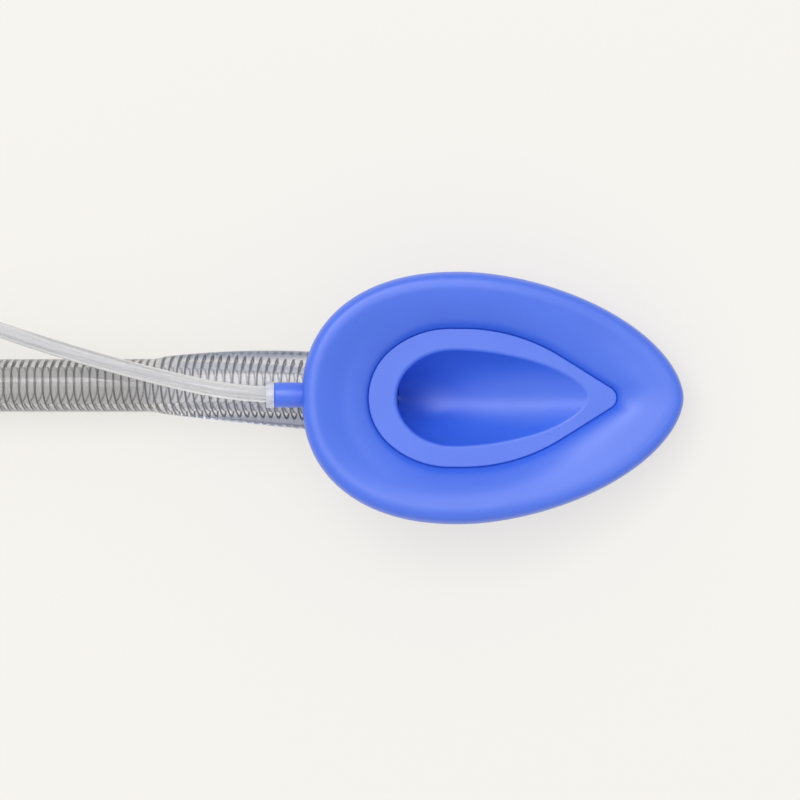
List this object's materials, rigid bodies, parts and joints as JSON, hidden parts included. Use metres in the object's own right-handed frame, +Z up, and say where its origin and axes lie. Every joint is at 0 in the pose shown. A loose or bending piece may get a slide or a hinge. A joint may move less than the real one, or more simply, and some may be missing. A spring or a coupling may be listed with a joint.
{
  "type": "laryngeal mask airway",
  "caption": "Airway with an egg-shaped inflated cuff round a bowl, a wire-reinforced clear tube with a cone connector, and a thin line to a pilot balloon with a check valve.",
  "frame": {"origin": "on the table, under the middle of the length from the connector's end to the mask's tip and the middle of the mask's width", "axes": "+X from the breathing connector to the tip of the mask, +Z up with the bowl facing up"},
  "size_m": [0.3059, 0.0649, 0.0305],
  "materials": {
    "blue_silicone": "satin",
    "clear_silicone": "satin",
    "steel_wire": "satin",
    "connector_plastic": "gloss",
    "line_tubing": "satin",
    "clear_plastic": "gloss",
    "balloon_film": "gloss",
    "valve_plastic": "gloss",
    "plunger_plastic": "gloss",
    "seal_rubber": "matte"
  },
  "bodies": {
    "airway": {"cuff": "blue_silicone", "bowl": "blue_silicone", "airway_tube": "clear_silicone", "tube_reinforcing_coil": "steel_wire", "tube_sleeve": "clear_silicone", "airway_connector": "connector_plastic", "inflation_line": "line_tubing", "line_collar": "clear_plastic", "pilot_balloon": "balloon_film", "valve_housing": "valve_plastic", "valve_cap": "valve_plastic", "valve_spring": "steel_wire"},
    "valve_stem": {"valve_plunger": "plunger_plastic", "valve_seal": "seal_rubber"}
  },
  "joints": [
    {"name": "valve_press", "type": "slide", "parent": "airway", "child": "valve_stem", "axis": [1, 0, 0], "range_m": [0, 0.0015], "stiffness_N_per_m": 300, "springref_m": -0.001, "deforming": ["valve_spring"]}
  ]
}
